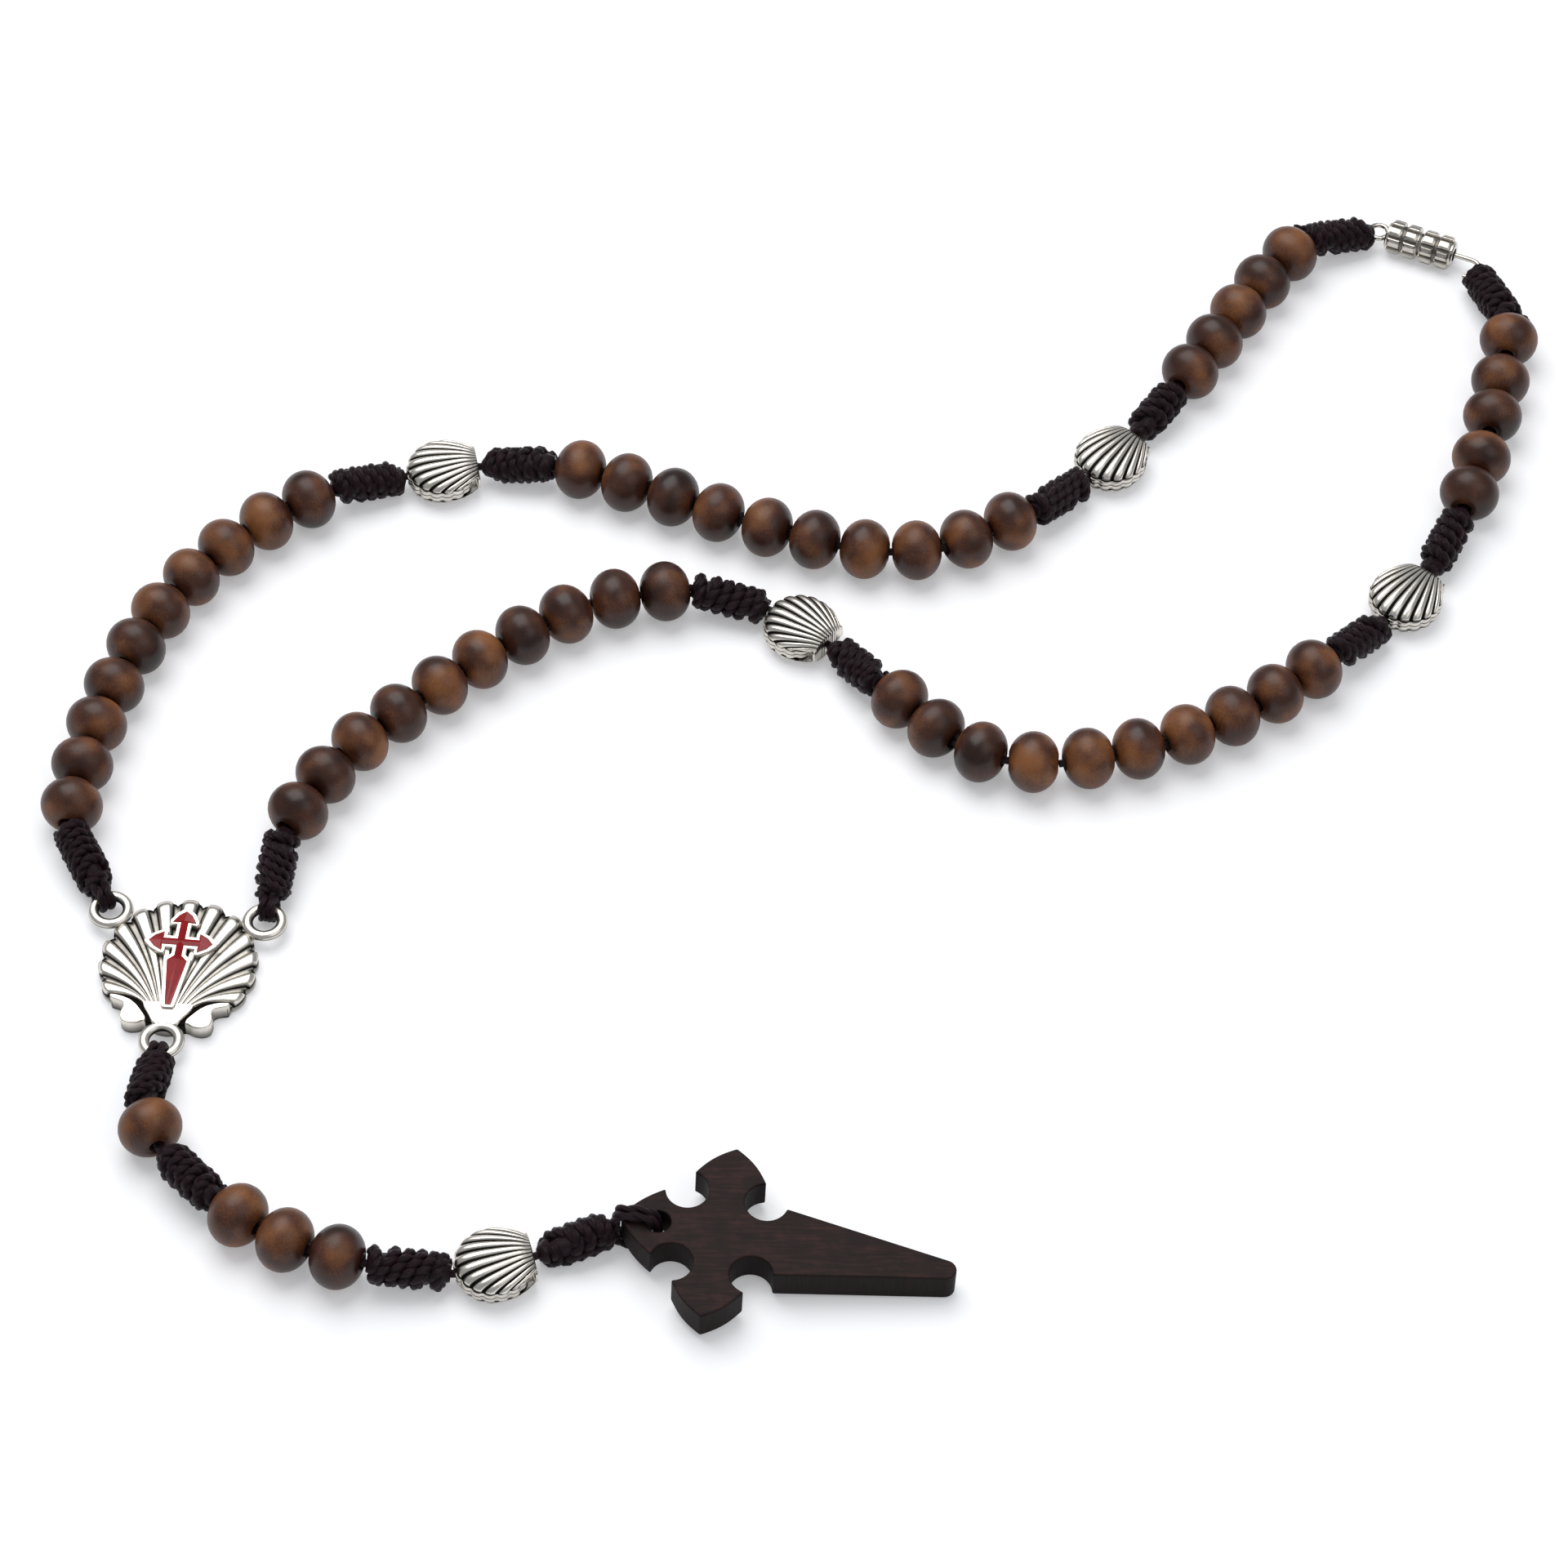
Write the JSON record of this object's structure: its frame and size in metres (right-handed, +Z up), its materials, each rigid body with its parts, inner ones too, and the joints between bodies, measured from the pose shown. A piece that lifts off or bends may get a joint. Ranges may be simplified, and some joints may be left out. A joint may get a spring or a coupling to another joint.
{
  "type": "rosary",
  "caption": "Cord rosary lying open in a loose loop: wooden beads and scallop beads between wrapped knots, a scallop medal with an inlaid cross, a barrel clasp and a wooden cross.",
  "frame": {"origin": "centre of the medal's flat back, on the table", "axes": "+Z up, +X and +Y along the table; the loop lies towards +X and +Y of the medal, and the tail with the wooden cross towards -Y"},
  "size_m": [0.198, 0.1834, 0.008],
  "materials": {
    "stained_wood": "satin brown stain",
    "dark_wood": "matte dark brown",
    "nylon_cord": "satin twisted cord, near black",
    "medal_silver": "antique silver, dark in the grooves",
    "shell_silver": "antique silver, dark in the grooves",
    "red_enamel": "gloss enamel",
    "clasp_nickel": "bright plating",
    "magnet_steel": "plain"
  },
  "bodies": {
    "medal": {"medal": "medal_silver", "enamel_cross": "red_enamel"},
    "left_link_1": {"left_cord_1": "nylon_cord"},
    "left_link_2": {"left_cord_2": "nylon_cord"},
    "left_link_3": {"left_cord_3": "nylon_cord"},
    "left_link_4": {"left_cord_4": "nylon_cord"},
    "left_link_5": {"left_cord_5": "nylon_cord"},
    "right_link_1": {"right_cord_1": "nylon_cord"},
    "right_link_2": {"right_cord_2": "nylon_cord"},
    "right_link_3": {"right_cord_3": "nylon_cord"},
    "right_link_4": {"right_cord_4": "nylon_cord"},
    "right_link_5": {"right_cord_5": "nylon_cord"},
    "tail_link_1": {"tail_cord_1": "nylon_cord"},
    "tail_link_2": {"tail_cord_2": "nylon_cord"},
    "tail_link_3": {"tail_cord_3": "nylon_cord"},
    "clasp_left": {"clasp_left_half": "clasp_nickel", "clasp_left_bail": "clasp_nickel", "clasp_left_magnet": "magnet_steel"},
    "clasp_right": {"clasp_right_half": "clasp_nickel", "clasp_right_bail": "clasp_nickel", "clasp_right_magnet": "magnet_steel"},
    "cross": {"wooden_cross": "dark_wood"},
    "left_bead_17": {"left_bead_17": "stained_wood"},
    "left_bead_18": {"left_bead_18": "stained_wood"},
    "left_bead_25": {"left_bead_25": "stained_wood"},
    "left_beads_01_02": {"left_beads_01_02": "stained_wood"},
    "left_beads_03_04": {"left_beads_03_04": "stained_wood"},
    "left_beads_05_06": {"left_beads_05_06": "stained_wood"},
    "left_beads_07_08": {"left_beads_07_08": "stained_wood"},
    "left_beads_09_10": {"left_beads_09_10": "stained_wood"},
    "left_beads_11_12": {"left_beads_11_12": "stained_wood"},
    "left_beads_13_14": {"left_beads_13_14": "stained_wood"},
    "left_beads_15_16": {"left_beads_15_16": "stained_wood"},
    "left_beads_19_20": {"left_beads_19_20": "stained_wood"},
    "left_beads_21_22": {"left_beads_21_22": "stained_wood"},
    "left_beads_23_24": {"left_beads_23_24": "stained_wood"},
    "left_shell_1": {"left_shell_1": "shell_silver"},
    "left_shell_2": {"left_shell_2": "shell_silver"},
    "right_bead_13": {"right_bead_13": "stained_wood"},
    "right_bead_14": {"right_bead_14": "stained_wood"},
    "right_bead_25": {"right_bead_25": "stained_wood"},
    "right_beads_01_02": {"right_beads_01_02": "stained_wood"},
    "right_beads_03_04": {"right_beads_03_04": "stained_wood"},
    "right_beads_05_06": {"right_beads_05_06": "stained_wood"},
    "right_beads_07_08": {"right_beads_07_08": "stained_wood"},
    "right_beads_09_10": {"right_beads_09_10": "stained_wood"},
    "right_beads_11_12": {"right_beads_11_12": "stained_wood"},
    "right_beads_15_16": {"right_beads_15_16": "stained_wood"},
    "right_beads_17_18": {"right_beads_17_18": "stained_wood"},
    "right_beads_19_20": {"right_beads_19_20": "stained_wood"},
    "right_beads_21_22": {"right_beads_21_22": "stained_wood"},
    "right_beads_23_24": {"right_beads_23_24": "stained_wood"},
    "right_shell_1": {"right_shell_1": "shell_silver"},
    "right_shell_2": {"right_shell_2": "shell_silver"},
    "tail_bead_01": {"tail_bead_01": "stained_wood"},
    "tail_bead_02": {"tail_bead_02": "stained_wood"},
    "tail_bead_03": {"tail_bead_03": "stained_wood"},
    "tail_bead_04": {"tail_bead_04": "stained_wood"},
    "tail_shell_1": {"tail_shell_1": "shell_silver"}
  },
  "joints": [
    {"name": "left_link_1_bend", "type": "hinge", "parent": "medal", "child": "left_link_1", "pos_m": [-0.00894, 0.00942, 0.0019], "axis": [0, 0, 1], "range_deg": [0, 60]},
    {"name": "left_link_2_bend", "type": "hinge", "parent": "left_link_1", "child": "left_link_2", "pos_m": [-0.01017, 0.04779, 0.004], "axis": [0, 0, 1], "range_deg": [0, 20]},
    {"name": "left_link_3_bend", "type": "hinge", "parent": "left_link_2", "child": "left_link_3", "pos_m": [0.03493, 0.08398, 0.0024], "axis": [0.1797, -0.9837, 0], "range_deg": [0, 30]},
    {"name": "left_link_4_bend", "type": "hinge", "parent": "left_link_3", "child": "left_link_4", "pos_m": [0.07036, 0.07286, 0.004], "axis": [0, 0, 1], "range_deg": [0, 20]},
    {"name": "left_link_5_bend", "type": "hinge", "parent": "left_link_4", "child": "left_link_5", "pos_m": [0.12323, 0.08896, 0.0024], "axis": [0.7488, -0.6628, 0], "range_deg": [0, 30]},
    {"name": "right_link_1_bend", "type": "hinge", "parent": "medal", "child": "right_link_1", "pos_m": [0.01059, 0.0075, 0.0019], "axis": [0, 0, -1], "range_deg": [0, 30]},
    {"name": "right_link_2_bend", "type": "hinge", "parent": "right_link_1", "child": "right_link_2", "pos_m": [0.02856, 0.04213, 0.004], "axis": [0, 0, -1], "range_deg": [0, 20]},
    {"name": "right_link_3_bend", "type": "hinge", "parent": "right_link_2", "child": "right_link_3", "pos_m": [0.08193, 0.0524, 0.0024], "axis": [-0.6139, -0.7894, 0], "range_deg": [0, 30]},
    {"name": "right_link_4_bend", "type": "hinge", "parent": "right_link_3", "child": "right_link_4", "pos_m": [0.1115, 0.03145, 0.004], "axis": [0, 0, -1], "range_deg": [0, 20]},
    {"name": "right_link_5_bend", "type": "hinge", "parent": "right_link_4", "child": "right_link_5", "pos_m": [0.161, 0.06444, 0.0024], "axis": [0.7888, -0.6146, 0], "range_deg": [0, 30]},
    {"name": "tail_link_1_bend", "type": "hinge", "parent": "medal", "child": "tail_link_1", "pos_m": [-0.00106, -0.01085, 0.0019], "axis": [0, 0, -1], "range_deg": [-20, 45]},
    {"name": "tail_link_2_bend", "type": "hinge", "parent": "tail_link_1", "child": "tail_link_2", "pos_m": [0.00028, -0.02859, 0.004], "axis": [0, 0, -1], "range_deg": [-10, 20]},
    {"name": "tail_link_3_bend", "type": "hinge", "parent": "tail_link_2", "child": "tail_link_3", "pos_m": [0.04607, -0.04296, 0.0024], "axis": [0.2487, -0.9686, 0], "range_deg": [0, 30]},
    {"name": "clasp_left_swing", "type": "hinge", "parent": "left_link_5", "child": "clasp_left", "pos_m": [0.15924, 0.12813, 0.0024], "axis": [0, 0, 1], "range_deg": [0, 60]},
    {"name": "clasp_right_swing", "type": "hinge", "parent": "right_link_5", "child": "clasp_right", "pos_m": [0.17108, 0.12102, 0.0024], "axis": [0, 0, -1], "range_deg": [0, 60]},
    {"name": "cross_swing", "type": "hinge", "parent": "tail_link_3", "child": "cross", "pos_m": [0.0608, -0.04004, 0], "axis": [0, 0, -1], "range_deg": [-30, 30]},
    {"name": "left_bead_17_turn", "type": "hinge", "parent": "left_link_4", "child": "left_bead_17", "pos_m": [0.08662, 0.06785, 0.004], "axis": [0.9869, -0.1611, 0], "continuous": true},
    {"name": "left_bead_18_turn", "type": "hinge", "parent": "left_link_4", "child": "left_bead_18", "pos_m": [0.0935, 0.06763, 0.004], "axis": [0.995, 0.0994, 0], "continuous": true},
    {"name": "left_bead_25_turn", "type": "hinge", "parent": "left_link_5", "child": "left_bead_25", "pos_m": [0.14627, 0.12232, 0.004], "axis": [0.6693, 0.743, 0], "continuous": true},
    {"name": "left_beads_01_02_turn", "type": "hinge", "parent": "left_link_1", "child": "left_beads_01_02", "pos_m": [-0.01452, 0.02791, 0.004], "axis": [0.1162, 0.9932, 0], "continuous": true},
    {"name": "left_beads_03_04_turn", "type": "hinge", "parent": "left_link_1", "child": "left_beads_03_04", "pos_m": [-0.01196, 0.04115, 0.004], "axis": [0.259, 0.9659, 0], "continuous": true},
    {"name": "left_beads_05_06_turn", "type": "hinge", "parent": "left_link_2", "child": "left_beads_05_06", "pos_m": [-0.00738, 0.05406, 0.004], "axis": [0.4127, 0.9109, 0], "continuous": true},
    {"name": "left_beads_07_08_turn", "type": "hinge", "parent": "left_link_2", "child": "left_beads_07_08", "pos_m": [-0.00024, 0.06553, 0.004], "axis": [0.6356, 0.772, 0], "continuous": true},
    {"name": "left_beads_09_10_turn", "type": "hinge", "parent": "left_link_2", "child": "left_beads_09_10", "pos_m": [0.00965, 0.07473, 0.004], "axis": [0.8156, 0.5786, 0], "continuous": true},
    {"name": "left_beads_11_12_turn", "type": "hinge", "parent": "left_link_3", "child": "left_beads_11_12", "pos_m": [0.05171, 0.08082, 0.004], "axis": [0.937, -0.3492, 0], "continuous": true},
    {"name": "left_beads_13_14_turn", "type": "hinge", "parent": "left_link_3", "child": "left_beads_13_14", "pos_m": [0.06413, 0.07568, 0.004], "axis": [0.9109, -0.4126, 0], "continuous": true},
    {"name": "left_beads_15_16_turn", "type": "hinge", "parent": "left_link_4", "child": "left_beads_15_16", "pos_m": [0.07683, 0.07061, 0.004], "axis": [0.9456, -0.3253, 0], "continuous": true},
    {"name": "left_beads_19_20_turn", "type": "hinge", "parent": "left_link_4", "child": "left_beads_19_20", "pos_m": [0.10308, 0.07117, 0.004], "axis": [0.8828, 0.4697, 0], "continuous": true},
    {"name": "left_beads_21_22_turn", "type": "hinge", "parent": "left_link_5", "child": "left_beads_21_22", "pos_m": [0.13313, 0.10278, 0.004], "axis": [0.5374, 0.8434, 0], "continuous": true},
    {"name": "left_beads_23_24_turn", "type": "hinge", "parent": "left_link_5", "child": "left_beads_23_24", "pos_m": [0.14032, 0.11407, 0.004], "axis": [0.5385, 0.8426, 0], "continuous": true},
    {"name": "left_shell_1_turn", "type": "hinge", "parent": "left_link_2", "child": "left_shell_1", "pos_m": [0.02983, 0.08307, 0.0024], "axis": [0.9837, 0.1797, 0], "continuous": true},
    {"name": "left_shell_2_turn", "type": "hinge", "parent": "left_link_4", "child": "left_shell_2", "pos_m": [0.11987, 0.08515, 0.0024], "axis": [0.6628, 0.7488, 0], "continuous": true},
    {"name": "right_bead_13_turn", "type": "hinge", "parent": "right_link_3", "child": "right_bead_13", "pos_m": [0.1012, 0.03327, 0.004], "axis": [0.913, -0.4081, 0], "continuous": true},
    {"name": "right_bead_14_turn", "type": "hinge", "parent": "right_link_3", "child": "right_bead_14", "pos_m": [0.10792, 0.03162, 0.004], "axis": [0.9981, -0.0613, 0], "continuous": true},
    {"name": "right_bead_25_turn", "type": "hinge", "parent": "right_link_5", "child": "right_bead_25", "pos_m": [0.17532, 0.10594, 0.004], "axis": [0.2003, 0.9797, 0], "continuous": true},
    {"name": "right_beads_01_02_turn", "type": "hinge", "parent": "right_link_1", "child": "right_beads_01_02", "pos_m": [0.01558, 0.02658, 0.004], "axis": [0.474, 0.8805, 0], "continuous": true},
    {"name": "right_beads_03_04_turn", "type": "hinge", "parent": "right_link_1", "child": "right_beads_03_04", "pos_m": [0.02369, 0.03737, 0.004], "axis": [0.7121, 0.702, 0], "continuous": true},
    {"name": "right_beads_05_06_turn", "type": "hinge", "parent": "right_link_2", "child": "right_beads_05_06", "pos_m": [0.03373, 0.0466, 0.004], "axis": [0.7556, 0.655, 0], "continuous": true},
    {"name": "right_beads_07_08_turn", "type": "hinge", "parent": "right_link_2", "child": "right_beads_07_08", "pos_m": [0.0445, 0.05472, 0.004], "axis": [0.8397, 0.543, 0], "continuous": true},
    {"name": "right_beads_09_10_turn", "type": "hinge", "parent": "right_link_2", "child": "right_beads_09_10", "pos_m": [0.05695, 0.05982, 0.004], "axis": [0.981, 0.194, 0], "continuous": true},
    {"name": "right_beads_11_12_turn", "type": "hinge", "parent": "right_link_3", "child": "right_beads_11_12", "pos_m": [0.09321, 0.03964, 0.004], "axis": [0.6927, -0.7213, 0], "continuous": true},
    {"name": "right_beads_15_16_turn", "type": "hinge", "parent": "right_link_4", "child": "right_beads_15_16", "pos_m": [0.11825, 0.033, 0.004], "axis": [0.9726, 0.2325, 0], "continuous": true},
    {"name": "right_beads_17_18_turn", "type": "hinge", "parent": "right_link_4", "child": "right_beads_17_18", "pos_m": [0.13091, 0.03772, 0.004], "axis": [0.8877, 0.4605, 0], "continuous": true},
    {"name": "right_beads_19_20_turn", "type": "hinge", "parent": "right_link_4", "child": "right_beads_19_20", "pos_m": [0.14225, 0.04505, 0.004], "axis": [0.7857, 0.6186, 0], "continuous": true},
    {"name": "right_beads_21_22_turn", "type": "hinge", "parent": "right_link_5", "child": "right_beads_21_22", "pos_m": [0.1687, 0.08096, 0.004], "axis": [0.3165, 0.9486, 0], "continuous": true},
    {"name": "right_beads_23_24_turn", "type": "hinge", "parent": "right_link_5", "child": "right_beads_23_24", "pos_m": [0.17272, 0.09501, 0.004], "axis": [0.2401, 0.9707, 0], "continuous": true},
    {"name": "right_shell_1_turn", "type": "hinge", "parent": "right_link_2", "child": "right_shell_1", "pos_m": [0.07792, 0.05559, 0.0024], "axis": [0.7894, -0.6139, 0], "continuous": true},
    {"name": "right_shell_2_turn", "type": "hinge", "parent": "right_link_4", "child": "right_shell_2", "pos_m": [0.15787, 0.06039, 0.0024], "axis": [0.6146, 0.7888, 0], "continuous": true},
    {"name": "tail_bead_01_turn", "type": "hinge", "parent": "tail_link_1", "child": "tail_bead_01", "pos_m": [-0.00116, -0.02531, 0.004], "axis": [0.3704, -0.9289, 0], "continuous": true},
    {"name": "tail_bead_02_turn", "type": "hinge", "parent": "tail_link_2", "child": "tail_bead_02", "pos_m": [0.01035, -0.03811, 0.004], "axis": [0.7974, -0.6035, 0], "continuous": true},
    {"name": "tail_bead_03_turn", "type": "hinge", "parent": "tail_link_2", "child": "tail_bead_03", "pos_m": [0.0162, -0.04167, 0.004], "axis": [0.902, -0.4318, 0], "continuous": true},
    {"name": "tail_bead_04_turn", "type": "hinge", "parent": "tail_link_2", "child": "tail_bead_04", "pos_m": [0.0226, -0.04408, 0.004], "axis": [0.9626, -0.2708, 0], "continuous": true},
    {"name": "tail_shell_1_turn", "type": "hinge", "parent": "tail_link_2", "child": "tail_shell_1", "pos_m": [0.04115, -0.04426, 0.0024], "axis": [0.9686, 0.2487, 0], "continuous": true}
  ]
}
